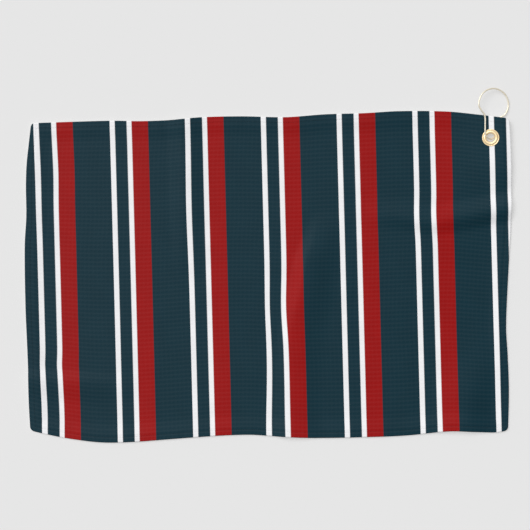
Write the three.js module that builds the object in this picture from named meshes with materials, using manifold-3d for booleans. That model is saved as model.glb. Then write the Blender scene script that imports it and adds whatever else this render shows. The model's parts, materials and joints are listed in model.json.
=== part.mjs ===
// A golf towel laid out on a table: a waffle-weave cloth with turned-under, lock-stitched hems,
// a two-part brass grommet in one corner and a pear-shaped spring-wire ring through the grommet.
// Millimetres, +Z up. +X runs along the towel's long side and +Y towards the ring.

import * as THREE from 'three';
import { mergeVertices } from 'three/addons/utils/BufferGeometryUtils.js';
import Module from 'manifold-3d';

// ---------------------------------------------------------------- driving dimensions

const CLOTH_LENGTH = 610;
const CLOTH_WIDTH = 406;
const CLOTH_THICKNESS = 1.6;
const HEM_WIDTH = 9;
const HEM_THICKNESS = 1.3;
const SEAM_INSET = 7;         // from the cloth's edge to the row of stitches
const SEAM_PULL = 0.85;       // how far the stitches draw the hem's face in
const THREAD_RADIUS = 0.22;
const GAP = 0.3;              // between pieces that touch
const HEM_RAMP = 5.5;         // the cloth comes down to the table over this width inside a hem

const GROMMET_X = 277.6;      // centre of the hole, from the middle of the towel
const GROMMET_Y = 172.4;
const GROMMET_Z = 7;
const CORNER_SLOPE_X = 0.1;   // rise of the propped-up corner, per mm
const EDGE_DROOP = 0.14;      // share of that height that is lost again along the towel's end
const DROOP_START = 290.6;    // from just beyond the flange
const HOLE_RADIUS = 5.3;
const FLANGE_RADIUS = 10.75;
const FLANGE_RISE = 1.2;      // crest of the front flange above the cloth
const WASHER_RADIUS = 10.3;
const WASHER_THICKNESS = 0.55;
const BARREL_WALL = 0.5;
const ROLL_WIDTH = 1.5;       // the barrel's end, rolled outwards over the washer
const ROLL_DEPTH = 0.4;
const CLOTH_HOLE_RADIUS = 6.5;

const WIRE_RADIUS = 1;
const RING_TILT = 20;         // degrees: the front leg's side of the ring is the high one
const LEG_OFFSET = 7.8;       // each leg, from the ring's middle line
const FRONT_LEG_RISE = 0.4;   // the front leg, above the plane through the hole's middle
const BACK_LEG_DROP = 1.8;    // and the back leg, below it
const LOOP_CENTRE = [3.6, 41.9];
const LOOP_RADIUS = 19.4;
const LOOP_RISE = 0.7;        // the loop is turned a little flatter than the legs: its middle's rise
const LOOP_TWIST = 0.1;       // and its slope, out of the same plane
const BEND_CENTRE_Y = 6.2;    // the bend through the hole is an arc about this point
const BEND_HALF_WIDTH = 6;    // the wire passes from the front leg's level to the back leg's
const GATE_PIVOT_Y = 7.55;
const GATE_TIP_Y = 24.6;

const ORIGIN_Y = 13.2;        // the middle of the whole part, from the middle of the towel

const HALF_LENGTH = CLOTH_LENGTH / 2;
const HALF_WIDTH = CLOTH_WIDTH / 2;
const REST_HEIGHT = CLOTH_THICKNESS / 2;

// ---------------------------------------------------------------- how the cloth lies

// Each edge wanders a little from a straight line: [place along the edge, place across it].
const TOP_EDGE = [
  [-305, 191], [-205, 194], [-165, 193.5], [-125, 195], [-85, 198.5], [-35, 199.5], [20, 198.5],
  [70, 202], [120, 203.5], [165, 206], [225, 205.5], [265, 201.5], [305, 196.5],
];
const BOTTOM_EDGE = [
  [-305, -193], [-285, -198], [-255, -203.5], [-215, -208], [-175, -207.5], [-120, -203.5],
  [-60, -199.5], [-20, -198.5], [20, -201], [60, -202.5], [140, -201], [180, -199], [230, -194],
  [265, -195], [290, -195.5], [305, -193],
];
const LEFT_EDGE = [
  [-203, -297], [-165, -299], [-130, -299.5], [-90, -301], [-40, -303], [40, -304],
  [80, -302], [120, -302.5], [150, -301.5], [175, -299], [203, -296],
];
const RIGHT_EDGE = [
  [-203, 300], [-150, 301], [-105, 299.5], [-67, 297.5], [7, 300.5], [60, 303.5], [110, 304],
  [165, 303], [203, 301],
];

// Ridges in the cloth. A crest is a list of [place along, place across, height] and dies away
// over reach[0] on its left or lower side and reach[1] on the other side.
const UPRIGHT_RIDGES = [
  {
    crest: [[-215, 24, 5.6], [-90, 26, 5], [-25, 38, 4.6], [20, 49, 3.2], [50, 60, 1.4], [80, 70, 0]],
    reach: [24, 22],
  },
  { crest: [[0, -100, 0], [60, -104, 2.3], [120, -106, 3.2], [215, -109, 3.6]], reach: [20, 30] },
  { crest: [[-215, 238, 4.6], [-150, 250, 4], [-110, 262, 2], [-60, 275, 0]], reach: [55, 42] },
];
const LEVEL_RIDGES = [
  { crest: [[120, 79, 0], [165, 75, 2.8], [206, 69, 4], [252, 75, 4.8], [310, 87, 5]], reach: [20, 25] },
  { crest: [[-310, -128, 3], [-250, -131, 3], [-200, -134, 1.5], [-160, -136, 0]], reach: [30, 15] },
];

// A smooth curve through rows of numbers: the first number is the place, the rest are values.
function smoothRow(rows, place) {
  const last = rows.length - 1;
  const at = THREE.MathUtils.clamp(place, rows[0][0], rows[last][0]);
  let low = 0;
  while (low < last - 1 && rows[low + 1][0] < at) low += 1;
  const before = rows[Math.max(low - 1, 0)];
  const from = rows[low];
  const to = rows[low + 1];
  const after = rows[Math.min(low + 2, last)];
  const span = to[0] - from[0];
  const t = (at - from[0]) / span;
  return from.slice(1).map((value, index) => {
    const k = index + 1;
    const slopeFrom = (to[k] - before[k]) / (to[0] - before[0]) * span;
    const slopeTo = (after[k] - from[k]) / (after[0] - from[0]) * span;
    const rise = to[k] - value;
    return value + slopeFrom * t + (3 * rise - 2 * slopeFrom - slopeTo) * t * t
      + (slopeFrom + slopeTo - 2 * rise) * t * t * t;
  });
}

// 1 at a ridge's crest, 0 beyond its reach, with a rounded top and rounded feet.
function ridgeShape(offset, reach) {
  const side = offset < 0 ? reach[0] : reach[1];
  const part = Math.min(Math.abs(offset) / side, 1);
  return Math.cos(part * Math.PI / 2) ** 2;
}

function ridgeHeight(ridge, along, across) {
  const [crest, height] = smoothRow(ridge.crest, along);
  return Math.max(height, 0) * ridgeShape(across - crest, ridge.reach);
}

// The corner is a flat, sloping patch round the grommet that runs down to the table.
function cornerLift(x, y) {
  const blend = 2;
  const fadeStart = -30;
  const fadeEnd = -110;
  const droop = 1 - EDGE_DROOP * THREE.MathUtils.smoothstep(x, DROOP_START, HALF_LENGTH);
  const above = GROMMET_Z - REST_HEIGHT + CORNER_SLOPE_X * (x - GROMMET_X);
  const ramp = above > blend ? above : Math.max(above + blend, 0) ** 2 / (4 * blend);
  return ramp * droop * THREE.MathUtils.smoothstep(y - GROMMET_Y, fadeEnd, fadeStart);
}

// How far the hem underneath holds the cloth off the table.
function hemRise(u, v) {
  const inset = Math.min(HALF_LENGTH - Math.abs(u), HALF_WIDTH - Math.abs(v));
  const share = 1 - THREE.MathUtils.smoothstep(inset, HEM_WIDTH + GAP, HEM_WIDTH + HEM_RAMP);
  return (HEM_THICKNESS + GAP) * share;
}

// A place (u, v) on the flat cloth, as a point on the middle of the laid-out cloth.
function clothPoint(u, v) {
  const across = (u + HALF_LENGTH) / CLOTH_LENGTH;
  const up = (v + HALF_WIDTH) / CLOTH_WIDTH;
  const x = THREE.MathUtils.lerp(smoothRow(LEFT_EDGE, v)[0], smoothRow(RIGHT_EDGE, v)[0], across);
  const y = THREE.MathUtils.lerp(smoothRow(BOTTOM_EDGE, u)[0], smoothRow(TOP_EDGE, u)[0], up);
  const lift = cornerLift(x, y);
  const easedRise = hemRise(u, v) * (1 - Math.min(lift / 4, 1));
  let z = REST_HEIGHT + lift + easedRise;
  for (const ridge of UPRIGHT_RIDGES) z += ridgeHeight(ridge, y, x);
  for (const ridge of LEVEL_RIDGES) z += ridgeHeight(ridge, x, y);
  return new THREE.Vector3(x, y, z);
}

// ---------------------------------------------------------------- building blocks

// Places along one direction of the cloth, from spans of [end, number of steps].
function places(start, spans) {
  const list = [start];
  for (const [end, steps] of spans) {
    const from = list[list.length - 1];
    for (let step = 1; step <= steps; step += 1) list.push(from + (end - from) * step / steps);
  }
  return list;
}

// A closed solid from rings of points: ring k joins ring k + 1, and the end rings are capped.
function solidFromRings(rings) {
  const sides = rings[0].length;
  const vertices = rings.flat().flatMap((point) => point.toArray());
  const faces = [];
  for (let ring = 0; ring < rings.length - 1; ring += 1) {
    for (let side = 0; side < sides; side += 1) {
      const next = (side + 1) % sides;
      const a = ring * sides + side;
      const b = ring * sides + next;
      faces.push(a, b, b + sides, a, b + sides, a + sides);
    }
  }
  const end = (rings.length - 1) * sides;
  for (let side = 1; side < sides - 1; side += 1) {
    faces.push(0, side + 1, side);
    faces.push(end, end + side, end + side + 1);
  }
  const geometry = new THREE.BufferGeometry();
  geometry.setAttribute('position', new THREE.Float32BufferAttribute(vertices, 3));
  geometry.setIndex(faces);
  return geometry;
}

// A closed sheet between two faces that follow the cloth: each face is (u, v) => point.
function sheetGeometry(uPlaces, vPlaces, upperFace, lowerFace) {
  const columns = uPlaces.length;
  const rows = vPlaces.length;
  const vertices = [];
  for (const face of [upperFace, lowerFace]) {
    for (const v of vPlaces) {
      for (const u of uPlaces) vertices.push(...face(u, v).toArray());
    }
  }
  const lower = columns * rows;
  const faces = [];
  const quad = (a, b, c, d) => faces.push(a, b, c, a, c, d);
  for (let row = 0; row < rows - 1; row += 1) {
    for (let column = 0; column < columns - 1; column += 1) {
      const a = row * columns + column;
      quad(a, a + 1, a + columns + 1, a + columns);
      faces.push(lower + a, lower + a + columns + 1, lower + a + 1);
      faces.push(lower + a, lower + a + columns, lower + a + columns + 1);
    }
  }
  const topRow = (rows - 1) * columns;
  for (let column = 0; column < columns - 1; column += 1) {
    quad(lower + column, lower + column + 1, column + 1, column);
    quad(topRow + column, topRow + column + 1, lower + topRow + column + 1, lower + topRow + column);
  }
  for (let row = 0; row < rows - 1; row += 1) {
    const left = row * columns;
    const right = left + columns - 1;
    quad(left, left + columns, lower + left + columns, lower + left);
    quad(lower + right, lower + right + columns, right + columns, right);
  }
  const geometry = new THREE.BufferGeometry();
  geometry.setAttribute('position', new THREE.Float32BufferAttribute(vertices, 3));
  geometry.setIndex(faces);
  return geometry;
}

const wasm = await Module();
wasm.setup();

function toSolid(geometry) {
  const bare = geometry.clone();
  bare.deleteAttribute('normal');
  bare.deleteAttribute('uv');
  const merged = mergeVertices(bare, 1e-4);
  return new wasm.Manifold(new wasm.Mesh({
    numProp: 3,
    vertProperties: new Float32Array(merged.attributes.position.array),
    triVerts: new Uint32Array(merged.index.array),
  }));
}

function fromSolid(solid) {
  const mesh = solid.getMesh();
  const geometry = new THREE.BufferGeometry();
  geometry.setAttribute('position', new THREE.BufferAttribute(mesh.vertProperties, 3));
  geometry.setIndex(new THREE.BufferAttribute(mesh.triVerts, 1));
  return geometry;
}

const part = new THREE.Group();
part.name = 'golf_towel';
part.position.set(0, -ORIGIN_Y, 0);

function addPiece(name, geometry, colour, roughness, metalness) {
  const material = new THREE.MeshStandardMaterial({ color: colour, roughness, metalness });
  const mesh = new THREE.Mesh(geometry, material);
  mesh.name = name;
  part.add(mesh);
  return mesh;
}

const addFabric = (name, geometry, colour) => addPiece(name, geometry, colour, 0.9, 0);
const addMetal = (name, geometry, colour, roughness) => addPiece(name, geometry, colour, roughness, 1);

const NAVY = 0x22383f;
const WHITE = 0xe9e9ea;
const THREAD_WHITE = 0xf2f2f0;
const BRASS = 0xd8b066;
const PALE_GOLD = 0xd9cba4;

// ---------------------------------------------------------------- the grommet's own frame

const grommetNormal = new THREE.Vector3(-CORNER_SLOPE_X, 0, 1).normalize();
const grommetCentre = new THREE.Vector3(GROMMET_X, GROMMET_Y, GROMMET_Z);

// Lathe axes are upright in three.js, so +Y is turned onto the grommet's normal.
function onGrommetAxis(geometry) {
  const turn = new THREE.Quaternion().setFromUnitVectors(new THREE.Vector3(0, 1, 0), grommetNormal);
  return geometry.applyQuaternion(turn).translate(grommetCentre.x, grommetCentre.y, grommetCentre.z);
}

// ---------------------------------------------------------------- cloth

const seamU = HALF_LENGTH - SEAM_INSET;
const seamV = HALF_WIDTH - SEAM_INSET;
const hemU = HALF_LENGTH - HEM_WIDTH;
const hemV = HALF_WIDTH - HEM_WIDTH;
const rampU = hemU - HEM_RAMP;
const rampV = hemV - HEM_RAMP;

const uPlaces = places(-HALF_LENGTH, [
  [-seamU, 1], [-hemU, 1], [-rampU, 2], [-135, 5], [-75, 6], [0, 3], [88, 9],
  [160, 3], [rampU, 8], [hemU, 2], [seamU, 1], [HALF_LENGTH, 1],
]);
const vPlaces = places(-HALF_WIDTH, [
  [-seamV, 1], [-hemV, 1], [-rampV, 2], [-165, 1], [-110, 5], [50, 4], [102, 5],
  [rampV, 5], [hemV, 2], [seamV, 1], [HALF_WIDTH, 1],
]);

const offsetFace = (height) => (u, v) => clothPoint(u, v).add(new THREE.Vector3(0, 0, height));
const clothTop = offsetFace(CLOTH_THICKNESS / 2);
const clothUnderside = offsetFace(-CLOTH_THICKNESS / 2);

function makeCloth() {
  const holeSegments = 28;
  const cutterLength = 12;
  const cutter = new THREE.CylinderGeometry(CLOTH_HOLE_RADIUS, CLOTH_HOLE_RADIUS, cutterLength, holeSegments);
  const sheet = toSolid(sheetGeometry(uPlaces, vPlaces, clothTop, clothUnderside));
  return fromSolid(sheet.subtract(toSolid(onGrommetAxis(cutter))));
}

addFabric('towel_cloth', makeCloth(), NAVY);

// ---------------------------------------------------------------- hems and seams

// The hem's back face, drawn in along the row of stitches.
function hemBack(u, v) {
  const onSeam = Math.abs(HALF_LENGTH - Math.abs(u) - SEAM_INSET) < 0.01
    || Math.abs(HALF_WIDTH - Math.abs(v) - SEAM_INSET) < 0.01;
  const depth = CLOTH_THICKNESS / 2 + GAP + HEM_THICKNESS - (onSeam ? SEAM_PULL : 0);
  return clothPoint(u, v).add(new THREE.Vector3(0, 0, -depth));
}

const hemFront = offsetFace(-CLOTH_THICKNESS / 2 - GAP);

const within = (list, low, high) => list.filter((place) => place > low && place < high);

const longHemPlaces = [-HALF_LENGTH, ...within(uPlaces, -hemU - 1, hemU + 1), HALF_LENGTH];
const sideLimit = hemV - GAP;
const sideHemPlaces = [-sideLimit, ...within(vPlaces, -sideLimit, sideLimit), sideLimit];
const HEMS = [
  { name: 'top', u: longHemPlaces, v: [hemV, seamV, HALF_WIDTH] },
  { name: 'bottom', u: longHemPlaces, v: [-HALF_WIDTH, -seamV, -hemV] },
  { name: 'left', u: [-HALF_LENGTH, -seamU, -hemU], v: sideHemPlaces },
  { name: 'right', u: [hemU, seamU, HALF_LENGTH], v: sideHemPlaces },
];
for (const hem of HEMS) {
  addFabric(`hem_${hem.name}`, sheetGeometry(hem.u, hem.v, hemFront, hemBack), WHITE);
}

// A thread lies along the seam at a fixed height from the middle of the cloth.
function threadGeometry(path, height) {
  const corners = [[0, THREAD_RADIUS], [THREAD_RADIUS, 0], [0, -THREAD_RADIUS], [-THREAD_RADIUS, 0]];
  const alongU = Math.abs(path[1][0] - path[0][0]) > Math.abs(path[1][1] - path[0][1]);
  const rings = path.map(([u, v]) => {
    const centre = clothPoint(u, v).add(new THREE.Vector3(0, 0, height));
    return corners.map(([side, up]) => {
      const offset = alongU ? new THREE.Vector3(0, -side, up) : new THREE.Vector3(side, 0, up);
      return centre.clone().add(offset);
    });
  });
  return solidFromRings(rings);
}

const frontThreadHeight = CLOTH_THICKNESS / 2 + GAP + THREAD_RADIUS;
const hemBackDepth = CLOTH_THICKNESS / 2 + GAP + HEM_THICKNESS;
const backThreadHeight = -(hemBackDepth - SEAM_PULL + GAP + THREAD_RADIUS);
const cornerClear = 1.2;
const longSeam = [-seamU, ...within(uPlaces, -seamU + 1, seamU - 1), seamU];
const sideSeamEnd = seamV - cornerClear;
const sideSeam = [-sideSeamEnd, ...within(vPlaces, -sideSeamEnd, sideSeamEnd), sideSeamEnd];
const hemSeamEnd = hemU - cornerClear;
const hemSeam = [-hemSeamEnd, ...within(uPlaces, -hemSeamEnd, hemSeamEnd), hemSeamEnd];
const SEAMS = [
  { name: 'top', front: longSeam.map((u) => [u, seamV]), back: hemSeam.map((u) => [u, seamV]) },
  { name: 'bottom', front: longSeam.map((u) => [u, -seamV]), back: hemSeam.map((u) => [u, -seamV]) },
  { name: 'left', front: sideSeam.map((v) => [-seamU, v]), back: sideHemPlaces.map((v) => [-seamU, v]) },
  { name: 'right', front: sideSeam.map((v) => [seamU, v]), back: sideHemPlaces.map((v) => [seamU, v]) },
];
for (const seam of SEAMS) {
  addFabric(`needle_thread_${seam.name}`, threadGeometry(seam.front, frontThreadHeight), THREAD_WHITE);
  addFabric(`bobbin_thread_${seam.name}`, threadGeometry(seam.back, backThreadHeight), THREAD_WHITE);
}

// ---------------------------------------------------------------- grommet

const TURNED_SEGMENTS = 36;

// Half an ellipse of a turned section, from its outer end at (radius, height) inwards or outwards.
function halfRound(middleRadius, height, halfWidth, rise, fromDegrees, steps) {
  const list = [];
  for (let step = 0; step <= steps; step += 1) {
    const angle = THREE.MathUtils.degToRad(fromDegrees + 180 * step / steps);
    list.push([middleRadius + halfWidth * Math.cos(angle), height + rise * Math.sin(angle)]);
  }
  return list;
}

// The front half: a domed flange that funnels into the barrel, which is rolled over the washer.
function makeEyelet() {
  const seat = CLOTH_THICKNESS / 2 + GAP;
  const domeMiddle = (HOLE_RADIUS + FLANGE_RADIUS) / 2;
  const domeHalfWidth = (FLANGE_RADIUS - HOLE_RADIUS) / 2;
  const outer = HOLE_RADIUS + BARREL_WALL;
  const roll = -(seat + WASHER_THICKNESS + GAP);
  const profile = [
    ...halfRound(domeMiddle, seat, domeHalfWidth, FLANGE_RISE - GAP, 0, 8),
    ...halfRound(HOLE_RADIUS + ROLL_WIDTH / 2, roll, ROLL_WIDTH / 2, ROLL_DEPTH, 180, 4),
    [outer, roll],
    [outer, seat],
    [FLANGE_RADIUS, seat],
  ];
  return turned(profile);
}

// The back half: a flat washer that the barrel is rolled over.
function makeWasher() {
  const face = -(CLOTH_THICKNESS / 2 + GAP);
  const inner = HOLE_RADIUS + BARREL_WALL + GAP;
  const bevel = WASHER_THICKNESS / 2;
  const profile = [
    [WASHER_RADIUS, face],
    [inner, face],
    [inner, face - WASHER_THICKNESS],
    [WASHER_RADIUS - bevel, face - WASHER_THICKNESS],
    [WASHER_RADIUS, face - bevel],
    [WASHER_RADIUS, face],
  ];
  return turned(profile);
}

function turned(profile) {
  const points = profile.map(([radius, height]) => new THREE.Vector2(radius, height));
  return onGrommetAxis(new THREE.LatheGeometry(points, TURNED_SEGMENTS));
}

addMetal('grommet_eyelet', makeEyelet(), BRASS, 0.25);
addMetal('grommet_washer', makeWasher(), BRASS, 0.3);

// ---------------------------------------------------------------- ring

const tilt = THREE.MathUtils.degToRad(RING_TILT);
const ringAcross = new THREE.Vector3(Math.cos(tilt), 0, -Math.sin(tilt));
const ringAlong = new THREE.Vector3(0, 1, 0);
const ringNormal = new THREE.Vector3().crossVectors(ringAcross, ringAlong);

// A point of the ring: across its plane, along it, and proud of it, from the middle of the hole.
function ringPoint(across, along, proud) {
  return grommetCentre.clone()
    .addScaledVector(ringAcross, across)
    .addScaledVector(ringAlong, along)
    .addScaledVector(ringNormal, proud);
}

// Points of an arc; proudAt says how far each is out of the ring's plane, from its place across.
function arcPoints(centre, radius, fromDegrees, toDegrees, steps, proudAt) {
  const list = [];
  for (let step = 0; step <= steps; step += 1) {
    const angle = THREE.MathUtils.degToRad(fromDegrees + (toDegrees - fromDegrees) * step / steps);
    const across = centre[0] + radius * Math.cos(angle);
    list.push(ringPoint(across, centre[1] + radius * Math.sin(angle), proudAt(across)));
  }
  return list;
}

function wireGeometry(points, steps) {
  const curveSegments = 5;
  const circle = new THREE.Shape();
  circle.absarc(0, 0, WIRE_RADIUS, 0, Math.PI * 2);
  return new THREE.ExtrudeGeometry(circle, {
    steps,
    curveSegments,
    bevelEnabled: false,
    extrudePath: new THREE.CatmullRomCurve3(points, false, 'centripetal'),
  });
}

// The wire's end laps the outer side of the gate's tip, the loop goes round, and the front leg
// comes down over the cloth and bends through the hole.
const lapAcross = LEG_OFFSET + 2 * WIRE_RADIUS + 0.35;
const catchEnd = [
  [lapAcross, 19.6, -BACK_LEG_DROP], [lapAcross, 22.6, -BACK_LEG_DROP], [10.9, 24.4, -1.1],
  [12.6, 25.6, 0], [15, 26.7, 1.1], [17.8, 28.3, 1.9],
];
const shoulder = [
  [-12.3, 33.4, -0.3], [-9.3, 29.8, 0], [-8, 26.4, 0.2], [-LEG_OFFSET, 22, FRONT_LEG_RISE],
  [-LEG_OFFSET, 14, FRONT_LEG_RISE],
];
const loopProud = (across) => LOOP_RISE + LOOP_TWIST * across;
function bendProud(across) {
  const blend = THREE.MathUtils.smoothstep(across, -BEND_HALF_WIDTH, BEND_HALF_WIDTH);
  return THREE.MathUtils.lerp(FRONT_LEG_RISE, -BACK_LEG_DROP, blend);
}
const ringPath = [
  ...catchEnd.map(([across, along, proud]) => ringPoint(across, along, proud)),
  ...arcPoints(LOOP_CENTRE, LOOP_RADIUS, -36, 188, 20, loopProud),
  ...shoulder.map(([across, along, proud]) => ringPoint(across, along, proud)),
  ...arcPoints([0, BEND_CENTRE_Y], LEG_OFFSET, 180, 360, 10, bendProud),
];
addMetal('ring_wire', wireGeometry(ringPath, 76), PALE_GOLD, 0.2);

// The back leg: its lower end is a ball about the pivot, so that it turns clear of the bend.
function makeGate() {
  const length = GATE_TIP_Y - GATE_PIVOT_Y;
  const gate = new THREE.CapsuleGeometry(WIRE_RADIUS, length, 4, 10);
  const turn = new THREE.Quaternion().setFromUnitVectors(new THREE.Vector3(0, 1, 0), ringAlong);
  const middle = ringPoint(LEG_OFFSET, GATE_PIVOT_Y + length / 2, -BACK_LEG_DROP);
  return gate.applyQuaternion(turn).translate(middle.x, middle.y, middle.z);
}

addMetal('ring_gate', makeGate(), PALE_GOLD, 0.2);

export default part;
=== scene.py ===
"""A golf towel laid out on a table: striped waffle-weave cloth with turned-under, lock-stitched
hems, a brass grommet in one corner and a pear-shaped spring-wire ring through it.

Shapes are worked out in millimetres along the part's own axes, with x and y counted from the
middle of the flat cloth, and turned into metres in the part's frame when each mesh is made."""

import json
import math

import bpy
import numpy as np
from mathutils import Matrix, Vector


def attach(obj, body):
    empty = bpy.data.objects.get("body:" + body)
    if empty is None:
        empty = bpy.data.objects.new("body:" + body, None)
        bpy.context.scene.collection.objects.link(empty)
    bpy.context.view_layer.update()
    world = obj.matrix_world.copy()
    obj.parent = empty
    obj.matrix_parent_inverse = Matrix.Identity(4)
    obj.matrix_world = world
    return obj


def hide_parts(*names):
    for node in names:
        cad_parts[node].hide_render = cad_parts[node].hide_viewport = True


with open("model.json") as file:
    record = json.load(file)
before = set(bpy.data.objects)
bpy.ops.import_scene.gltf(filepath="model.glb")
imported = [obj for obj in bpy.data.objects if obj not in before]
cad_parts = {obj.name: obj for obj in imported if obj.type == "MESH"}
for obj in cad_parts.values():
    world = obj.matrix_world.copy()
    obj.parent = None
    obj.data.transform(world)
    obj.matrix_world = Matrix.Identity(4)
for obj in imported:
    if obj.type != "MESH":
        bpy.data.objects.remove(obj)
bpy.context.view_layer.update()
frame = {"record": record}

MM = 0.001
JOINTS = {joint["name"]: joint for joint in frame["record"]["behaviour"]["joints"]}
RNG = np.random.default_rng(11)

# ------------------------------------------------------------------ camera

VIEW_WIDTH = 662.5
VIEW_MIDDLE = (-3.75, 0.5)
CAMERA_HEIGHT = 2600
SENSOR_WIDTH = 36


def add_camera():
    """A long lens straight above the towel, with the towel's long side across the picture."""
    data = bpy.data.cameras.new("camera")
    data.sensor_width = SENSOR_WIDTH
    data.lens = SENSOR_WIDTH * CAMERA_HEIGHT / VIEW_WIDTH
    camera = bpy.data.objects.new("camera", data)
    camera.location = (VIEW_MIDDLE[0] * MM, VIEW_MIDDLE[1] * MM, CAMERA_HEIGHT * MM)
    bpy.context.scene.collection.objects.link(camera)
    bpy.context.scene.camera = camera


add_camera()

# ------------------------------------------------------------------ how the cloth lies

CLOTH_LENGTH = 610
CLOTH_WIDTH = 406
HALF_LENGTH = CLOTH_LENGTH / 2
HALF_WIDTH = CLOTH_WIDTH / 2
CLOTH_THICKNESS = 1.6
HALF_THICK = CLOTH_THICKNESS / 2
HEM_WIDTH = 9
HEM_DEPTH = 1.6  # what the turned-under layer adds to the cloth's thickness
HEM_RAMP = 17  # the cloth comes down from its hem's thickness over this width
SEAM_INSET = 7
CORNER_RADIUS = 5
EDGE_DROOP = 0.14  # share of the corner's height that is lost again along the towel's end
DROOP_START = 290.6
CORNER_START = -110  # along y from the hole, where the raised corner begins
CORNER_FULL = -30  # and where it has its full height
CORNER_BLEND = 2  # half the height over which the patch rounds off into the table
PUCKER = 0.07
RIPPLE_LIFT = 0.1
RIPPLE_BLEND = 0.02
TABLE_GAP = 0.06
CALM_SPREAD = 16  # the ripples die away round the grommet
FREE_END = 25  # the folds draw the cloth sideways less and less over this stretch to its end

HOLE_PLACE = (277.6, 172.4)
HOLE_HEIGHT = JOINTS["ring_swing"]["pos_m"][2] / MM
HOLE_NORMAL = np.array(JOINTS["ring_swing"]["axis"])
ORIGIN_Y = HOLE_PLACE[1] - JOINTS["ring_swing"]["pos_m"][1] / MM
CORNER_SLOPE = -HOLE_NORMAL[0] / HOLE_NORMAL[2]

# Each edge wanders a little from a straight line: [place along the edge, place across it].
TOP_EDGE = [[-305, 191], [-205, 194], [-165, 193.5], [-125, 195], [-85, 198.5], [-35, 199.5], [20, 198.5],
            [70, 202], [120, 203.5], [165, 206], [225, 205.5], [265, 201.5], [305, 196.5]]
BOTTOM_EDGE = [[-305, -193], [-285, -198], [-255, -203.5], [-215, -208], [-175, -207.5], [-120, -203.5],
               [-60, -199.5], [-20, -198.5], [20, -201], [60, -202.5], [140, -201], [180, -199],
               [230, -194], [265, -195], [290, -195.5], [305, -193]]
LEFT_EDGE = [[-203, -297], [-165, -299], [-130, -299.5], [-90, -301], [-40, -303], [40, -304],
             [80, -302], [120, -302.5], [150, -301.5], [175, -299], [203, -296]]
RIGHT_EDGE = [[-203, 300], [-150, 301], [-105, 299.5], [-67, 297.5], [7, 300.5], [60, 303.5],
              [110, 304], [165, 303], [203, 301]]

# Ridges: the crest is [place along, place across, height], dying away over the two reaches.
UPRIGHT_RIDGES = [
    ([[-215, 25, 5.2], [-180, 26, 3.6], [-90, 28.5, 3.2], [-25, 41, 4.8], [20, 50, 4.4],
      [50, 60, 2.2], [80, 70, 0]], (20, 46)),
    ([[0, -100, 0], [60, -104, 2.8], [120, -106, 3.8], [215, -109, 4]], (20, 34)),
    ([[-215, 238, 4.6], [-150, 250, 4], [-110, 262, 2], [-60, 275, 0]], (55, 42)),
]
LEVEL_RIDGES = [
    ([[120, 79, 0], [165, 75, 2.8], [206, 69, 4], [252, 75, 4.8], [310, 87, 5]], (20, 25)),
    ([[-310, -128, 3], [-250, -131, 3], [-200, -134, 1.5], [-160, -136, 0]], (30, 15)),
]

# Where the folds draw the cloth sideways: x, y, spread in x, spread in y, shift in x.
DRIFTS = [
    (-3, -200, 15, 42, -3.4),
    (19, -38, 16, 26, -2.0),
    (-103, 82, 12, 45, -1.3),
    (195, 74, 34, 15, -1.3),
    (-268, -112, 25, 9, -1.0),
    (-270, 0, 75, 250, 1.3),
    (-272, -178, 25, 25, 0.9),
    (-260, 130, 20, 22, 0.9),
]


def smooth_rows(rows, place):
    """The values of a smooth curve through rows of [place, values...], at an array of places."""
    table = np.array(rows, float)
    knots, values = table[:, 0], table[:, 1:]
    last = len(knots) - 1
    index = np.arange(last + 1)
    before, after = np.maximum(index - 1, 0), np.minimum(index + 1, last)
    slopes = (values[after] - values[before]) / (knots[after] - knots[before])[:, None]
    at = np.clip(place, knots[0], knots[-1])
    low = np.clip(np.searchsorted(knots, at, side="right") - 1, 0, last - 1)
    span = (knots[low + 1] - knots[low])[..., None]
    t = (at - knots[low])[..., None] / span
    start, rise = values[low], values[low + 1] - values[low]
    slope_a, slope_b = slopes[low] * span, slopes[low + 1] * span
    curve = start + slope_a * t + (3 * rise - 2 * slope_a - slope_b) * t**2
    curve += (slope_a + slope_b - 2 * rise) * t**3
    return np.moveaxis(curve, -1, 0)


def smoothstep(value, low, high):
    t = np.clip((value - low) / (high - low), 0, 1)
    return t * t * (3 - 2 * t)


def ridge_height(ridge, along, across):
    crest_rows, reach = ridge
    crest, height = smooth_rows(crest_rows, along)
    offset = across - crest
    part = np.minimum(np.abs(offset) / np.where(offset < 0, reach[0], reach[1]), 1)
    return np.maximum(height, 0) * np.cos(part * math.pi / 2) ** 2


def corner_lift(x, y):
    """The corner is a flat, sloping patch round the grommet that runs down to the table."""
    above = HOLE_HEIGHT - HALF_THICK + CORNER_SLOPE * (x - HOLE_PLACE[0])
    rounded = np.maximum(above + CORNER_BLEND, 0) ** 2 / (4 * CORNER_BLEND)
    ramp = np.where(above > CORNER_BLEND, above, rounded)
    droop = 1 - EDGE_DROOP * smoothstep(x, DROOP_START, HALF_LENGTH)
    return ramp * droop * smoothstep(y - HOLE_PLACE[1], CORNER_START, CORNER_FULL)


def edge_inset(u, v):
    return np.minimum(HALF_LENGTH - np.abs(u), HALF_WIDTH - np.abs(v))


def flat_place(u, v):
    """Where a place on the flat cloth lies on the table, before the folds draw it sideways."""
    across, up = (u + HALF_LENGTH) / CLOTH_LENGTH, (v + HALF_WIDTH) / CLOTH_WIDTH
    left, right = smooth_rows(LEFT_EDGE, v)[0], smooth_rows(RIGHT_EDGE, v)[0]
    bottom, top = smooth_rows(BOTTOM_EDGE, u)[0], smooth_rows(TOP_EDGE, u)[0]
    return left + (right - left) * across, bottom + (top - bottom) * up


# Long, low waves that a cloth keeps from its packing: [waves per metre in x and y, phase, height].
WAVES = [(RNG.normal(0, 9, 2), RNG.uniform(0, 2 * math.pi), RNG.uniform(0.03, 0.1)) for _ in range(14)]


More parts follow.
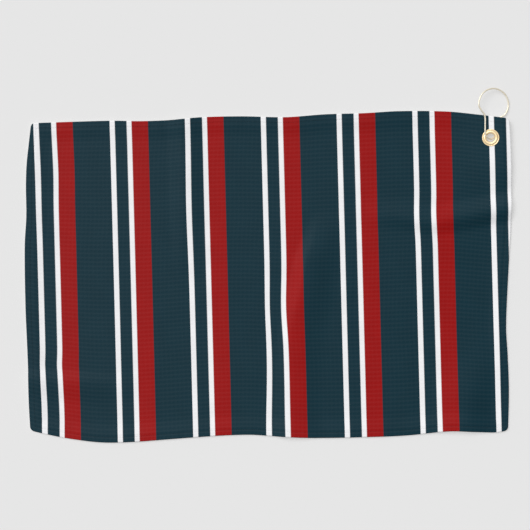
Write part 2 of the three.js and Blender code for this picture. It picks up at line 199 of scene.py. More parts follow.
def soft_waves(x, y):
    waves = [height * np.sin(turns[0] * x * MM * 2 * math.pi + turns[1] * y * MM * 2 * math.pi + phase)
             for turns, phase, height in WAVES]
    return np.sum(waves, axis=0)


def hem_pucker(u, v):
    """The seam draws the hem up into small, uneven puckers."""
    along = np.where(HALF_LENGTH - np.abs(u) < HALF_WIDTH - np.abs(v), v, u)
    puckers = np.sin(along * 0.47) + np.sin(along * 0.31 + 1.3) + np.sin(along * 0.143 + 0.4)
    return PUCKER * puckers * (1 - smoothstep(edge_inset(u, v), 4, 14))


def cloth_points(u, v):
    """Places (u, v) on the flat cloth, as points on the middle of the laid-out cloth."""
    x, y = flat_place(u, v)
    lift = corner_lift(x, y)
    inset = edge_inset(u, v)
    hem_rise = HEM_DEPTH * (1 - smoothstep(inset, HEM_WIDTH - 1, HEM_WIDTH + HEM_RAMP))
    z = HALF_THICK + lift + hem_rise * (1 - np.minimum(lift / 4, 1))
    for ridge in UPRIGHT_RIDGES:
        z = z + ridge_height(ridge, y, x)
    for ridge in LEVEL_RIDGES:
        z = z + ridge_height(ridge, x, y)
    near_hole = np.exp(-((x - HOLE_PLACE[0]) ** 2 + (y - HOLE_PLACE[1]) ** 2) / (2 * CALM_SPREAD**2))
    ripple = soft_waves(x, y) + hem_pucker(u, v) + RIPPLE_LIFT
    ripple = (ripple + np.sqrt(ripple**2 + RIPPLE_BLEND)) / 2  # never below the table
    z = z + (ripple + TABLE_GAP) * (1 - near_hole)
    free = smoothstep(HALF_LENGTH - np.abs(u), 0, FREE_END)
    for middle_x, middle_y, spread_x, spread_y, shift in DRIFTS:
        away = ((x - middle_x) / spread_x) ** 2 + ((y - middle_y) / spread_y) ** 2
        x = x + shift * free * np.exp(-away / 2)
    return np.stack([x, y, z], axis=-1)


def cloth_frames(u, v):
    """Points on the middle of the cloth, and the cloth's normals there."""
    step = 0.4
    along_u = cloth_points(u + step, v) - cloth_points(u - step, v)
    along_v = cloth_points(u, v + step) - cloth_points(u, v - step)
    normal = np.cross(along_u, along_v)
    normal /= np.linalg.norm(normal, axis=-1, keepdims=True)
    return cloth_points(u, v), normal


# ------------------------------------------------------------------ making meshes


def in_part_frame(points):
    """Millimetres from the middle of the towel, as metres in the part's frame."""
    return (np.asarray(points, float) - [0, ORIGIN_Y, 0]) * MM


def make_piece(name, points, faces, **attributes):
    mesh = bpy.data.meshes.new(name)
    mesh.from_pydata(in_part_frame(points).tolist(), [], [list(map(int, face)) for face in faces])
    for key, values in attributes.items():
        layer = mesh.attributes.new(key, "FLOAT_VECTOR", "POINT")
        layer.data.foreach_set("vector", np.asarray(values, np.float32).ravel())
    mesh.validate()
    mesh.polygons.foreach_set("use_smooth", [True] * len(mesh.polygons))
    mesh.update()
    piece = bpy.data.objects.new(name, mesh)
    bpy.context.scene.collection.objects.link(piece)
    return piece


def finish_piece(piece, body, slot, material, *nodes):
    piece.data.materials.append(material)
    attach(piece, body)
    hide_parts(*nodes)
    return piece


def grid_faces(rows, columns, first=0, wrap=False):
    """Quads between neighbouring rows of points; wrap joins each row's end to its start."""
    across = columns if wrap else columns - 1
    row, column = np.meshgrid(np.arange(rows - 1), np.arange(across), indexing="ij")
    next_column = (column + 1) % columns
    quads = [row * columns + column, row * columns + next_column,
             (row + 1) * columns + next_column, (row + 1) * columns + column]
    return (np.stack(quads, axis=-1).reshape(-1, 4) + first).tolist()


def tube(path, radius, sides, first=0, round_ends=True):
    """Points and faces of a round tube along a path, with rounded or flat ends."""
    path = np.asarray(path, float)
    tangents = np.gradient(path, axis=0)
    tangents /= np.linalg.norm(tangents, axis=1, keepdims=True)
    cap_steps = 4 if round_ends else 0
    angles = [math.pi / 2 * step / cap_steps for step in range(cap_steps)]
    start = [(path[0] - tangents[0] * radius * math.cos(a), tangents[0], math.sin(a)) for a in angles[1:]]
    end = [(path[-1] + tangents[-1] * radius * math.cos(a), tangents[-1], math.sin(a)) for a in angles[:0:-1]]
    stations = start + [(p, t, 1.0) for p, t in zip(path, tangents)] + end
    side = np.cross(tangents[0], [0.3, 0.2, 1])
    turn = np.linspace(0, 2 * math.pi, sides, endpoint=False)
    rings = []
    for centre, tangent, share in stations:
        side = side - tangent * np.dot(side, tangent)
        side /= np.linalg.norm(side)
        up = np.cross(tangent, side)
        rings.append(centre + radius * share * (np.outer(np.cos(turn), side) + np.outer(np.sin(turn), up)))
    points = np.concatenate(rings)
    faces = grid_faces(len(rings), sides, first, wrap=True)
    last = first + (len(rings) - 1) * sides
    faces.append([first + k for k in reversed(range(sides))])
    faces.append([last + k for k in range(sides)])
    return points, faces


def smooth_path(points, spacing):
    """Evenly spaced points on a centripetal Catmull-Rom curve through a list of points."""
    p = np.asarray(points, float)
    p = np.vstack([2 * p[0] - p[1], p, 2 * p[-1] - p[-2]])
    curve = []
    for k in range(1, len(p) - 2):
        spans = np.linalg.norm(np.diff(p[k - 1 : k + 3], axis=0), axis=1) ** 0.5
        knots = np.concatenate([[0], np.cumsum(spans)])
        t = np.linspace(knots[1], knots[2], 24, endpoint=False)[:, None]
        near = [((knots[j + 1] - t) * p[k - 1 + j] + (t - knots[j]) * p[k + j]) / (knots[j + 1] - knots[j])
                for j in range(3)]
        mid = [((knots[j + 2] - t) * near[j] + (t - knots[j]) * near[j + 1]) / (knots[j + 2] - knots[j])
               for j in range(2)]
        curve.append(((knots[2] - t) * mid[0] + (t - knots[1]) * mid[1]) / (knots[2] - knots[1]))
    curve = np.vstack([*curve, p[-2]])
    length = np.concatenate([[0], np.cumsum(np.linalg.norm(np.diff(curve, axis=0), axis=1))])
    even = np.linspace(0, length[-1], max(2, round(length[-1] / spacing)))
    return np.stack([np.interp(even, length, curve[:, axis]) for axis in range(3)], axis=1)


# ------------------------------------------------------------------ material building


class Shade:
    """One procedural material and short names for adding its nodes."""

    def __init__(self, name):
        self.material = bpy.data.materials.new(name)
        self.material.use_nodes = True
        self.tree = self.material.node_tree
        self.shader = self.tree.nodes["Principled BSDF"]

    def put(self, kind, **settings):
        node = self.tree.nodes.new(kind)
        for key, value in settings.items():
            setattr(node, key, value)
        return node

    def feed(self, socket, value):
        if isinstance(value, bpy.types.NodeSocket):
            self.tree.links.new(value, socket)
        else:
            socket.default_value = value

    def maths(self, operation, *values):
        node = self.put("ShaderNodeMath", operation=operation)
        for socket, value in zip(node.inputs, values):
            self.feed(socket, value)
        return node.outputs[0]

    def mix(self, share, first, second, blend="MIX"):
        node = self.put("ShaderNodeMix", data_type="RGBA", blend_type=blend)
        for socket, value in zip((node.inputs[0], node.inputs[6], node.inputs[7]), (share, first, second)):
            self.feed(socket, value)
        return node.outputs[2]

    def grey(self, value):
        node = self.put("ShaderNodeCombineColor")
        for socket in node.inputs:
            self.feed(socket, value)
        return node.outputs[0]

    def scaled(self, value, low, high, to_low=0.0, to_high=1.0, kind="SMOOTHSTEP"):
        node = self.put("ShaderNodeMapRange", interpolation_type=kind)
        for socket, number in zip(node.inputs, (value, low, high, to_low, to_high)):
            self.feed(socket, number)
        return node.outputs[0]

    def noise(self, vector, scale, detail=2.0):
        node = self.put("ShaderNodeTexNoise")
        self.feed(node.inputs["Vector"], vector)
        self.feed(node.inputs["Scale"], scale)
        self.feed(node.inputs["Detail"], detail)
        return node.outputs["Fac"]

    def attribute(self, name):
        split = self.put("ShaderNodeSeparateXYZ")
        vector = self.put("ShaderNodeAttribute", attribute_name=name).outputs["Vector"]
        self.feed(split.inputs[0], vector)
        return vector, split.outputs

    def place(self):
        return self.put("ShaderNodeTexCoord").outputs["Object"]

    def bump(self, height, strength, distance, normal=None):
        node = self.put("ShaderNodeBump")
        self.feed(node.inputs["Strength"], strength)
        self.feed(node.inputs["Distance"], distance)
        self.feed(node.inputs["Height"], height)
        if normal is not None:
            self.feed(node.inputs["Normal"], normal)
        return node.outputs[0]

    def set(self, **inputs):
        for key, value in inputs.items():
            self.feed(self.shader.inputs[key.replace("_", " ")], value)


def colour(red, green, blue):
    """A colour as seen on a screen, 0 to 255, as the linear values that shaders take."""
    parts = [part / 255 for part in (red, green, blue)]
    return (*[part / 12.92 if part <= 0.04045 else ((part + 0.055) / 1.055) ** 2.4 for part in parts], 1.0)


NAVY = colour(22, 52, 63)
RED = colour(156, 22, 22)
WHITE = colour(248, 248, 250)
BACK_WHITE = colour(238, 238, 236)

STRIPE_REPEAT = 94.72
STRIPE_START = -287.9  # a first white stripe's left side, where it crosses the towel's middle
STRIPE_LEAN = 0.0262
STRIPES = [(6.15, WHITE), (15.05, NAVY), (6.05, WHITE), (20.7, RED), (46.77, NAVY)]
PRINT_BLEED = 0.35
RIB_SHARE = 0.7  # height of the weave's upright ribs, next to that of the level ones
YARNS_PER_CELL = 9
PAINTED_SHEEN = 0.003  # painted sheen and shade: the ribs this much paler and the pits darker, and the cloth paler on its left than on its right
FABRIC_SPECULAR = 0.12
WEAVE_BUMP = 0.45
FUZZ_BUMP = 0.25
THREAD_PITCH = 0.55
THREAD_SPECULAR = 0.3
TWIST_SHADOW = colour(12, 14, 16)


def stripe_colour(shade, print_vector, print_x, print_y):
    """The printed stripes, with edges that bleed a little way along the yarns."""
    ragged = shade.maths("MULTIPLY", shade.maths("SUBTRACT", shade.noise(print_vector, 1.3, 3), 0.5), 0.5)
    lean = shade.maths("MULTIPLY_ADD", print_y, STRIPE_LEAN, print_x)
    along = shade.maths("ADD", shade.maths("SUBTRACT", lean, STRIPE_START - STRIPE_REPEAT * 9), ragged)
    share = shade.maths("FRACT", shade.maths("DIVIDE", along, STRIPE_REPEAT))
    ramp = shade.put("ShaderNodeValToRGB")
    shade.feed(ramp.inputs[0], share)
    elements = ramp.color_ramp.elements
    elements.remove(elements[1])
    elements[0].position, elements[0].color = 0.0, STRIPES[0][1]
    place = 0.0
    for number, (width, tint) in enumerate(STRIPES):
        if number:
            elements.new((place + PRINT_BLEED) / STRIPE_REPEAT).color = tint
        place += width
        elements.new((place - PRINT_BLEED) / STRIPE_REPEAT).color = tint
    elements[-1].position = 1 - PRINT_BLEED / STRIPE_REPEAT
    elements.new(1.0).color = WHITE
    return ramp.outputs[0]


def waffle(shade, weave):
    """The relief, 0 at the bottom of each pit and 1 along the ribs, and a share for the painted sheen on the
    ribs.
    """
    upright, level = [shade.maths("POWER", shade.maths("ABSOLUTE", shade.maths("COSINE", shade.maths(
        "MULTIPLY", place, math.pi))), 3.0) for place in weave[:2]]
    relief = shade.maths("MAXIMUM", shade.maths("MULTIPLY", upright, RIB_SHARE), level)
    rib_sheen = shade.maths("ADD", shade.maths("MULTIPLY", upright, 0.4), level)
    return relief, rib_sheen


def yarn(shade, weave):
    """Fine yarns: several small ridges to a cell, across and along the cloth."""
    turns = 2 * math.pi * YARNS_PER_CELL
    waves = [shade.maths("SINE", shade.maths("MULTIPLY", place, turns)) for place in weave[:2]]
    return shade.maths("MULTIPLY", shade.maths("ADD", waves[0], waves[1]), 0.5)


def fabric_material(name, printed):
    shade = Shade(name)
    _, weave = shade.attribute("weave_place")
    print_vector, prints = shade.attribute("print_place")
    relief, rib_sheen = waffle(shade, weave)
    yarns = yarn(shade, weave)
    fuzz = shade.noise(print_vector, 2.1, 4)
    tint = BACK_WHITE
    if printed:
        edge = shade.maths("ADD", prints[2], shade.maths("MULTIPLY", fuzz, 0.16))
        unprinted = shade.scaled(edge, 0.42, 0.5)
        tint = shade.mix(unprinted, stripe_colour(shade, print_vector, *prints[:2]), BACK_WHITE)
    patches = shade.scaled(shade.noise(print_vector, 0.035, 2), 0.3, 0.7, 0.97, 1.02)
    # painted shade: the colour is made a little darker down in the weave's pits
    depth = shade.scaled(relief, 0, 1, 0.985, 1.01)
    grain = shade.scaled(fuzz, 0.3, 0.7, 0.97, 1.02)
    value = shade.maths("MULTIPLY", shade.maths("MULTIPLY", patches, depth), grain)
    tint = shade.mix(1.0, tint, shade.grey(value), "MULTIPLY")
    if printed:
        # painted sheen: paler on the ribs and darker in the pits, and paler towards the left than the right,
        # where the light comes from
        painted_sheen = shade.maths("ADD", shade.scaled(rib_sheen, 0, 1.4, -PAINTED_SHEEN, PAINTED_SHEEN), shade.scaled(
            prints[0], -HALF_LENGTH, HALF_LENGTH, PAINTED_SHEEN / 3, -PAINTED_SHEEN, "LINEAR"))
        tint = shade.mix(1.0, tint, shade.grey(painted_sheen), "ADD")
    rough = shade.scaled(fuzz, 0.2, 0.8, 0.46, 0.54)
    height = shade.maths("ADD", shade.maths("MULTIPLY", relief, 0.3), shade.maths("MULTIPLY", yarns, 0.06))
    normal = shade.bump(height, 0.5, WEAVE_BUMP * MM)
    normal = shade.bump(fuzz, 0.35, FUZZ_BUMP * MM, normal)
    shade.set(Base_Color=tint, Roughness=rough, Normal=normal, Specular_IOR_Level=FABRIC_SPECULAR)
    return shade.material


def thread_material(name, printed):
    """Twisted polyester thread; where it was printed with the cloth it takes the stripes."""
    shade = Shade(name)
    print_vector, prints = shade.attribute("print_place")
    twist_turns = shade.maths("ADD", prints[0], prints[1])
    twist = shade.maths("SINE", shade.maths("MULTIPLY", twist_turns, 2 * math.pi / THREAD_PITCH))
    tint = stripe_colour(shade, print_vector, *prints[:2]) if printed else BACK_WHITE
    tint = shade.mix(shade.scaled(twist, -1, 1, 0, 0.22), tint, TWIST_SHADOW)
    normal = shade.bump(twist, 0.4, 0.06 * MM)
    rough = shade.scaled(twist, -1, 1, 0.5, 0.62)
    shade.set(Base_Color=tint, Roughness=rough, Normal=normal, Specular_IOR_Level=THREAD_SPECULAR)
    return shade.material


def metal_material(name, tint, dark_tint, roughness, scratch, metallic):
    """Bright plating with faint handling marks, and duller where dirt and lacquer gather."""
    shade = Shade(name)
    place = shade.place()
    cloudy = shade.noise(place, 160, 3)
    fine = shade.noise(place, 2400, 3)
    base = shade.mix(shade.scaled(cloudy, 0.35, 0.75, 0, 0.45), tint, dark_tint)
    rough = shade.maths("ADD", shade.scaled(cloudy, 0.3, 0.7, roughness, roughness + 0.1),
                        shade.maths("MULTIPLY", fine, scratch))
    normal = shade.bump(fine, 0.06, 0.05 * MM)
    shade.set(Base_Color=base, Roughness=rough, Normal=normal, Metallic=metallic)
    return shade.material


PRINTED = fabric_material("printed_waffle", True)
PLAIN = fabric_material("white_waffle", False)
PRINTED_THREAD = thread_material("printed_thread", True)
PLAIN_THREAD = thread_material("white_thread", False)
BRASS = metal_material("grommet_brass", colour(255, 231, 186), colour(230, 196, 140),
                       roughness=0.28, scratch=0.06, metallic=0.6)
PALE_GOLD = metal_material("ring_pale_gold", colour(252, 244, 224), colour(236, 218, 184),
                           roughness=0.24, scratch=0.05, metallic=0.5)

# ------------------------------------------------------------------ cloth

CELLS_ALONG = 114
CELLS_ACROSS = 75
PIT_DEPTH = 0.27
BACK_PIT_DEPTH = 0.162
FOLD_RADIUS = (CLOTH_THICKNESS + HEM_DEPTH) / 2
EDGE_INSETS = [0, 0.15, 0.55, 1.05, 1.6, 2.1, 2.6, 4.4, 6.0, 6.6, 7.0, 7.4, 8.0, 9.6, 11.5]
CLOTH_HOLE = 6.6
HOLE_MARGIN = 0.4
SEAM_DIP = 0.16
GROMMET_PINCH = 0.35  # how much thinner the cloth is where the grommet clamps it


def cloth_lines(half_size, cells):
    """Grid lines at the weave's ribs and pits, and closer together along the folded edges."""
    step = half_size / cells
    reach = half_size - EDGE_INSETS[-1] - step / 2
    low_edge = [inset - half_size for inset in EDGE_INSETS]
    inner = [k * step for k in range(-cells, cells + 1) if abs(k * step) < reach]
    high_edge = [half_size - inset for inset in reversed(EDGE_INSETS)]
    return np.array(low_edge + inner + high_edge)


def round_corners(u, v):
    """Draws the square corners of the grid in to a quarter circle."""
    a = np.maximum(np.abs(u) - (HALF_LENGTH - CORNER_RADIUS), 0)
    b = np.maximum(np.abs(v) - (HALF_WIDTH - CORNER_RADIUS), 0)
    share = np.maximum(a, b) / np.maximum(np.hypot(a, b), 1e-9)
    inside = (a > 0) & (b > 0)
    new_u = np.where(inside, np.sign(u) * (HALF_LENGTH - CORNER_RADIUS + a * share), u)
    new_v = np.where(inside, np.sign(v) * (HALF_WIDTH - CORNER_RADIUS + b * share), v)
    return new_u, new_v


def weave_relief(u, v, shift):
    """Height of the weave, from 0 in a pit to 1 on a rib, at places on the flat cloth."""
    cell_u = u * CELLS_ALONG / CLOTH_LENGTH + shift
    cell_v = v * CELLS_ACROSS / CLOTH_WIDTH + 0.5 + shift
    return np.maximum(RIB_SHARE * np.abs(np.cos(np.pi * cell_u)), np.abs(np.cos(np.pi * cell_v)))


def weave_places(u, v):
    return np.stack([u * CELLS_ALONG / CLOTH_LENGTH, v * CELLS_ACROSS / CLOTH_WIDTH + 0.5, 0 * u], axis=-1)


def print_places(u, v, back):
    x, y = flat_place(u, v)
    return np.stack([x, y, back + 0 * u], axis=-1)


def open_hole(u, v):
    """Rounds off the grid at the grommet's hole, and tells which cells stay and how far each is."""
    x, y = flat_place(u, v)
    away = np.hypot(x - HOLE_PLACE[0], y - HOLE_PLACE[1])
    solid = away > CLOTH_HOLE - HOLE_MARGIN
    keep = solid[:-1, :-1] & solid[1:, :-1] & solid[:-1, 1:] & solid[1:, 1:]
    cell = CLOTH_LENGTH / CELLS_ALONG / 2
    rim = solid & (away < CLOTH_HOLE + cell)
    pull = np.where(rim, CLOTH_HOLE / np.maximum(away, 1) - 1, 0)
    return u + (x - HOLE_PLACE[0]) * pull, v + (y - HOLE_PLACE[1]) * pull, keep, away


def face_heights(u, v, inset, away):
    """Heights of the front and the back above the cloth's middle, and of its fold at the edge."""
    seam = np.exp(-((inset - SEAM_INSET) / 0.9) ** 2)
    flattened = smoothstep(inset, 1.0, 3.0) * (1 - 0.8 * seam)
    flattened = flattened * (1 - 0.3 * np.exp(-((inset - 4.5) / 3.5) ** 2)) * smoothstep(away, 10, 15)
    pinch = SEAM_DIP * seam + GROMMET_PINCH * (1 - smoothstep(away, 10, 14))
    fold = np.sqrt(np.maximum(FOLD_RADIUS**2 - np.maximum(FOLD_RADIUS - inset, 0) ** 2, 0))
    fold_middle = HALF_THICK - FOLD_RADIUS
    front = fold_middle + fold - PIT_DEPTH * (1 - weave_relief(u, v, 0)) * flattened - pinch
    back_share = smoothstep(inset, 2.1, 2.6)
    back = (fold_middle - fold) * (1 - back_share) - HALF_THICK * back_share
    back += BACK_PIT_DEPTH * (1 - weave_relief(u, v, 0.5)) * flattened * back_share
    return front, back, fold


def sheet_faces(keep):
    """The front, the back, which shares its outer edge, and the wall of the hole."""
    rows, columns = keep.shape[0] + 1, keep.shape[1] + 1
    index = np.arange(rows * columns).reshape(rows, columns)
    edge = np.ones((rows, columns), bool)
    edge[1:-1, 1:-1] = False
    back_index = np.where(edge, index, index + rows * columns)

    def quads(corner):
        around = np.stack([corner[:-1, :-1], corner[:-1, 1:], corner[1:, 1:], corner[1:, :-1]], axis=-1)
        return around[keep]

    faces = quads(index).tolist() + quads(back_index)[:, ::-1].tolist()
    for row, column in zip(*np.nonzero(~keep)):
        corners = [(row, column), (row, column + 1), (row + 1, column + 1), (row + 1, column)]
        beyond = [(row - 1, column), (row, column + 1), (row + 1, column), (row, column - 1)]
        for side, other in enumerate(beyond):
            if keep[other]:
                a, b = corners[side], corners[(side + 1) % 4]
                faces.append([index[a], index[b], back_index[b], back_index[a]])
    return faces


def make_cloth():
    lines_u, lines_v = cloth_lines(HALF_LENGTH, CELLS_ALONG), cloth_lines(HALF_WIDTH, CELLS_ACROSS)
    v, u = np.meshgrid(lines_v, lines_u, indexing="ij")
    inset = edge_inset(u, v)
    u, v, keep, away = open_hole(*round_corners(u, v))
    middle, normal = cloth_frames(u, v)
    front, back, fold = face_heights(u, v, inset, away)
    layers = [middle + normal * height[..., None] for height in (front, back)]
    points = np.concatenate([layer.reshape(-1, 3) for layer in layers])

    front_print = print_places(u, v, 0)
    front_print[..., 2] = np.clip(0.5 - fold / FOLD_RADIUS * 0.5, 0, 0.5)
    back_print = print_places(u, v, 1)
    prints = np.concatenate([front_print.reshape(-1, 3), back_print.reshape(-1, 3)])
    front_weave = weave_places(u, v).reshape(-1, 3)
    weaves = np.concatenate([front_weave, front_weave + [0.5, 0.5, 0]])

    faces = sheet_faces(keep)
    used = np.unique(np.concatenate([np.ravel(face) for face in faces]))
    renumber = np.zeros(len(points), int)
    renumber[used] = np.arange(len(used))
    faces = [[renumber[k] for k in face] for face in faces]
    piece = make_piece("towel_waffle_cloth", points[used], faces,
                       print_place=prints[used], weave_place=weaves[used])
    return finish_piece(piece, "towel", "printed_cloth", PRINTED, "towel_cloth")


# ------------------------------------------------------------------ hems and stitches

# The turned-under layer in section: [inset from the edge, depth below the middle of the cloth].
HEM_SECTION = [(1.7, 2.36), (3.2, 2.44), (5.2, 2.42), (6.3, 2.3), (6.75, 1.98), (7, 1.9), (7.25, 1.98),
               (7.7, 2.3), (8.4, 2.4), (9, 2.26), (9.25, 1.8), (9.05, 1.25), (8.5, 0.92), (1.7, 0.92)]
HEM_PIT_DEPTH = 0.22
HEM_END = 2.6  # the long hems stop this far from the towel's ends
HEM_GAP = 0.1  # and the short ones fit between them
SIDES = ("top", "bottom", "left", "right")


def seam_places(side, along, inset):
    """Places on the flat cloth along one edge, at some inset from it."""
    long_edge = side in ("top", "bottom")
    sign = 1 if side in ("top", "right") else -1
    across = sign * ((HALF_WIDTH if long_edge else HALF_LENGTH) - inset)
    along, across = np.broadcast_arrays(np.asarray(along, float), across)
    return (along, across) if long_edge else (across, along)


def make_hem(side):
    long_edge = side in ("top", "bottom")
    reach = HALF_LENGTH - HEM_END if long_edge else HALF_WIDTH - HEM_WIDTH - HEM_GAP
    steps = 2 * (CELLS_ALONG if long_edge else CELLS_ACROSS)
    along = np.linspace(-reach, reach, steps)[:, None]
    insets = np.array([inset for inset, _ in HEM_SECTION])[None, :]
    depths = np.array([depth for _, depth in HEM_SECTION])[None, :]
    u, v = seam_places(side, along + 0 * insets, insets)
    middle, normal = cloth_frames(u, v)
    outer_face = (depths > 1.5) & (insets > 2)
    near_seam = np.minimum(np.abs(insets - SEAM_INSET), 1)
    pits = HEM_PIT_DEPTH * (1 - weave_relief(u, v, 0.5)) * outer_face * near_seam
    points = (middle - normal * (depths - pits)[..., None]).reshape(-1, 3)
    columns = len(HEM_SECTION)
    faces = grid_faces(steps, columns, wrap=True)
    faces += [list(range(columns))[::-1], [(steps - 1) * columns + k for k in range(columns)]]
    if side in ("top", "left"):
        faces = [face[::-1] for face in faces]
    prints = print_places(u, v, 1).reshape(-1, 3)
    piece = make_piece(f"folded_hem_{side}", points, faces, print_place=prints,
                       weave_place=weave_places(u, v).reshape(-1, 3))
    return finish_piece(piece, "towel", "cloth_back", PLAIN, f"hem_{side}")


STITCH_LENGTH = 3.1
STITCH_GAP = 0.35
THREAD_RADIUS = 0.21
THREAD_SIDES = 6
STITCH_WANDER = 0.06
BOBBIN_HEIGHT = -1.92  # the bobbin thread lies on the turned-under layer
STITCH_SHAPE = [(0, -0.34), (0.1, -0.02), (0.3, 0.13), (0.7, 0.13), (0.9, -0.02), (1, -0.34)]


def make_stitches(side, front):
    """One row of lockstitches: a float of thread from each needle hole to the next."""
    end = (HALF_LENGTH if side in ("top", "bottom") else HALF_WIDTH) - SEAM_INSET
    count = round(2 * end / STITCH_LENGTH)
    starts = -end + 2 * end / count * np.arange(count)[:, None]
    shape = np.array(STITCH_SHAPE)
    float_length = 2 * end / count - STITCH_GAP
    along = starts + STITCH_GAP / 2 + shape[:, 0][None, :] * float_length
    wander = RNG.normal(0, STITCH_WANDER, (count, 1)) + 0 * along
    u, v = seam_places(side, along, SEAM_INSET + wander)
    middle, normal = cloth_frames(u, v)
    surface = HALF_THICK - SEAM_DIP - 0.02 if front else BOBBIN_HEIGHT
    height = surface + (1 if front else -1) * shape[:, 1][None, :]
    paths = middle + normal * (height + 0 * along)[..., None]
    points, faces, prints = [], [], []
    place = print_places(u, v, 0 if front else 1)
    for path, print_row in zip(paths, place):
        first = sum(map(len, points))
        float_points, float_faces = tube(path, THREAD_RADIUS, THREAD_SIDES, first, round_ends=False)
        points.append(float_points)
        faces += float_faces
        prints.append(np.repeat(print_row, THREAD_SIDES, axis=0))
    kind = "needle" if front else "bobbin"
    piece = make_piece(f"{kind}_stitches_{side}", np.concatenate(points), faces,
                       print_place=np.concatenate(prints))
    material = PRINTED_THREAD if front else PLAIN_THREAD
    return finish_piece(piece, "towel", "thread", material, f"{kind}_thread_{side}")


# ------------------------------------------------------------------ grommet

HOLE_RADIUS = 5.3
FLANGE_RADIUS = 10.75
WASHER_RADIUS = 10.3
RIM_BEAD = 0.75  # half the width of the bead round the flange
TURNED_STEPS = 96


def turned_piece(name, section):
    """A closed section of [radius, height] turned about the grommet's own axis."""
    section = np.array(section)
    side = np.cross([0, 1, 0], HOLE_NORMAL)
    side /= np.linalg.norm(side)
    up = np.cross(HOLE_NORMAL, side)
    turn = np.linspace(0, 2 * math.pi, TURNED_STEPS, endpoint=False)
    spokes = np.outer(np.cos(turn), side) + np.outer(np.sin(turn), up)
    centre = np.array([*HOLE_PLACE, HOLE_HEIGHT])
    points = centre + spokes[:, None, :] * section[None, :, :1] + HOLE_NORMAL * section[None, :, 1:]
    faces = grid_faces(TURNED_STEPS, len(section), wrap=True)
    last = (TURNED_STEPS - 1) * len(section)
    for k in range(len(section)):
        following = (k + 1) % len(section)
        faces.append([last + k, last + following, following, k])
    return make_piece(name, points.reshape(-1, 3), faces)


def bow(middle, height, half_width, rise, start, end, steps):
    """Points of part of an ellipse, between two angles in degrees."""
    angles = np.radians(np.linspace(start, end, steps))
    return [(middle + half_width * math.cos(a), height + rise * math.sin(a)) for a in angles]


def make_eyelet():
    seat = HALF_THICK - 0.28
    dome = HOLE_RADIUS + 2.05
    crest = HALF_THICK + 1.15 - seat
    section = [
        *bow(FLANGE_RADIUS - RIM_BEAD, seat + 0.1, RIM_BEAD, 0.5, -60, 150, 10),
        *bow(dome, seat + 0.2, dome - HOLE_RADIUS, crest - 0.2, 14, 180, 20),
        (HOLE_RADIUS, 0),
        (HOLE_RADIUS, -1.6),
        *bow(HOLE_RADIUS + 0.75, -1.72, 0.75, 0.55, 180, 360, 12),
        (HOLE_RADIUS + 1.1, -1.5),
        (HOLE_RADIUS + 0.45, -1.4),
        (HOLE_RADIUS + 0.45, seat - 0.25),
    ]
    eyelet = turned_piece("brass_eyelet", section)
    finish_piece(eyelet, "towel", "grommet", BRASS, "grommet_eyelet")


def make_washer():
    face = -HALF_THICK + 0.15
    washer = turned_piece("brass_washer", [
        (WASHER_RADIUS - 0.2, face),
        (HOLE_RADIUS + 0.5, face),
        (HOLE_RADIUS + 0.5, -1.52),
        (HOLE_RADIUS + 1.9, -1.52),
        (HOLE_RADIUS + 2.4, -1.4),
        *bow(WASHER_RADIUS - 0.9, -1.15, 0.9, 0.42, 250, 350, 8),
    ])
    finish_piece(washer, "towel", "grommet", BRASS, "grommet_washer")


# ------------------------------------------------------------------ ring

WIRE_RADIUS = 1
WIRE_SIDES = 20
WIRE_STEP = 0.6
LEG_OFFSET = 7.8
RING_TILT = math.radians(20)
FRONT_LEG_RISE = 0.4  # the front leg, above the plane through the hole's middle
BACK_LEG_DROP = 1.8  # and the back leg, below it
LOOP_CENTRE = (3.6, 41.9)
LOOP_RADIUS = 19.4
LOOP_RISE = 0.7
LOOP_TWIST = 0.1
BEND_CENTRE_Y = 6.2
BEND_HALF_WIDTH = 6
GATE_PIVOT_Y = 7.55
GATE_TIP_Y = 24.6
RING_NORMAL = np.array([math.sin(RING_TILT), 0.0, math.cos(RING_TILT)])
RING_ALONG = np.array([0.0, 1.0, 0.0])
RING_ACROSS = np.cross(RING_ALONG, RING_NORMAL)

# Places in the ring's plane, from the middle of the hole: [across, along, proud].
LAP_ACROSS = LEG_OFFSET + 2 * WIRE_RADIUS + 0.35
CATCH_END = [(LAP_ACROSS, 19.6, -BACK_LEG_DROP), (LAP_ACROSS, 22.6, -BACK_LEG_DROP), (10.9, 24.4, -1.1),
             (12.6, 25.6, 0), (15, 26.7, 1.1), (17.8, 28.3, 1.9)]
SHOULDER = [(-12.3, 33.4, -0.3), (-9.3, 29.8, 0), (-8, 26.4, 0.2), (-LEG_OFFSET, 22, FRONT_LEG_RISE),
            (-LEG_OFFSET, 14, FRONT_LEG_RISE)]


def ring_points(places):
    """Places across and along the ring's plane, and proud of it, from the middle of the hole."""
    centre = np.array([*HOLE_PLACE, HOLE_HEIGHT])
    return [centre + RING_ACROSS * p[0] + RING_ALONG * p[1] + RING_NORMAL * p[2] for p in places]


def bend_level(across):
    """The wire passes from the front leg's level to the back leg's as it goes through the hole."""
    share = smoothstep(across, -BEND_HALF_WIDTH, BEND_HALF_WIDTH)
    return FRONT_LEG_RISE - (FRONT_LEG_RISE + BACK_LEG_DROP) * share


def make_wire(name, places, body, node):
    path = smooth_path(ring_points(places), WIRE_STEP)
    piece = make_piece(name, *tube(path, WIRE_RADIUS, WIRE_SIDES))
    finish_piece(piece, body, "ring", PALE_GOLD, node)


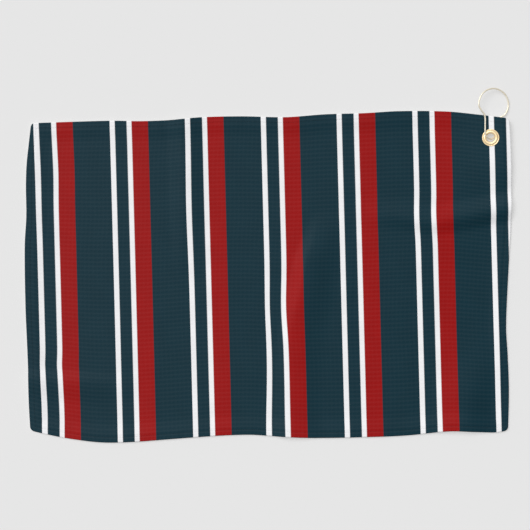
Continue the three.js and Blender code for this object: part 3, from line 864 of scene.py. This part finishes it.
def make_ring():
    loop = [(across, along, LOOP_RISE + LOOP_TWIST * across)
            for across, along in bow(*LOOP_CENTRE, LOOP_RADIUS, LOOP_RADIUS, -36, 188, 25)]
    bend = [(across, along, bend_level(across))
            for across, along in bow(0, BEND_CENTRE_Y, LEG_OFFSET, LEG_OFFSET, 180, 360, 13)]
    pivot = (LEG_OFFSET, GATE_PIVOT_Y - WIRE_RADIUS, -BACK_LEG_DROP)
    make_wire("ring_spring_wire", [*CATCH_END, *loop, *SHOULDER, *bend, pivot], "ring", "ring_wire")
    leg = [(LEG_OFFSET, along, -BACK_LEG_DROP) for along in (GATE_PIVOT_Y, 14, 19, GATE_TIP_Y)]
    make_wire("ring_back_leg", leg, "gate", "ring_gate")


# ------------------------------------------------------------------ table and light

FLOOR_SIZE = 12  # metres
FLOOR_DROP = 0.02
FLOOR_SHADE = 0.47
FLOOR_GLOW = 0.354  # the table glows evenly with painted light of its own, so its shadows stay pale
LIGHT_DIRECTION = (-0.5, 0.5, 1.0)
SUN_STRENGTH = 1.65
SUN_WIDTH = 40
SKY_DARK = 0.195
SKY_BRIGHT = 0.645


def add_stage():
    shade = Shade("pale_table")
    pale = (FLOOR_SHADE, FLOOR_SHADE, FLOOR_SHADE, 1)
    shade.set(Base_Color=pale, Roughness=0.9, Specular_IOR_Level=0.0)
    # painted light: the table glows a little, which keeps its shadows pale
    shade.set(Emission_Color=(1, 1, 1, 1), Emission_Strength=FLOOR_GLOW)
    mesh = bpy.data.meshes.new("table")
    half = FLOOR_SIZE / 2
    corners = [(-half, -half, 0), (half, -half, 0), (half, half, 0), (-half, half, 0)]
    mesh.from_pydata(corners, [], [(0, 1, 2, 3)])
    mesh.materials.append(shade.material)
    table = bpy.data.objects.new("table", mesh)
    bpy.context.scene.collection.objects.link(table)
    table.location.z = -FLOOR_DROP * MM


def add_sky():
    """An even room that is brighter towards the light."""
    world = bpy.data.worlds.new("room")
    world.use_nodes = True
    tree = world.node_tree
    direction = tree.nodes.new("ShaderNodeTexCoord").outputs["Generated"]
    towards = tree.nodes.new("ShaderNodeVectorMath")
    towards.operation = "DOT_PRODUCT"
    tree.links.new(direction, towards.inputs[0])
    towards.inputs[1].default_value = Vector(LIGHT_DIRECTION).normalized()
    spread = tree.nodes.new("ShaderNodeMapRange")
    spread.interpolation_type = "SMOOTHSTEP"
    for socket, value in zip(spread.inputs[1:5], (-0.3, 1.0, SKY_DARK, SKY_BRIGHT)):
        socket.default_value = value
    tree.links.new(towards.outputs["Value"], spread.inputs[0])
    background = tree.nodes["Background"]
    background.inputs["Color"].default_value = (1, 1, 1, 1)
    tree.links.new(spread.outputs[0], background.inputs["Strength"])
    bpy.context.scene.world = world


def add_light():
    """A large soft light high on the upper left."""
    data = bpy.data.lights.new("soft_sun", "SUN")
    data.energy = SUN_STRENGTH
    data.angle = math.radians(SUN_WIDTH)
    sun = bpy.data.objects.new("soft_sun", data)
    sun.rotation_mode = "QUATERNION"
    sun.rotation_quaternion = Vector(LIGHT_DIRECTION).to_track_quat("Z", "Y")
    bpy.context.scene.collection.objects.link(sun)
    bpy.context.scene.view_settings.view_transform = "Standard"


add_sky()
add_stage()
add_light()
cloth = make_cloth()
hems = [make_hem(side) for side in SIDES]
stitches = [make_stitches(side, front) for front in (True, False) for side in SIDES]
make_eyelet()
make_washer()
make_ring()
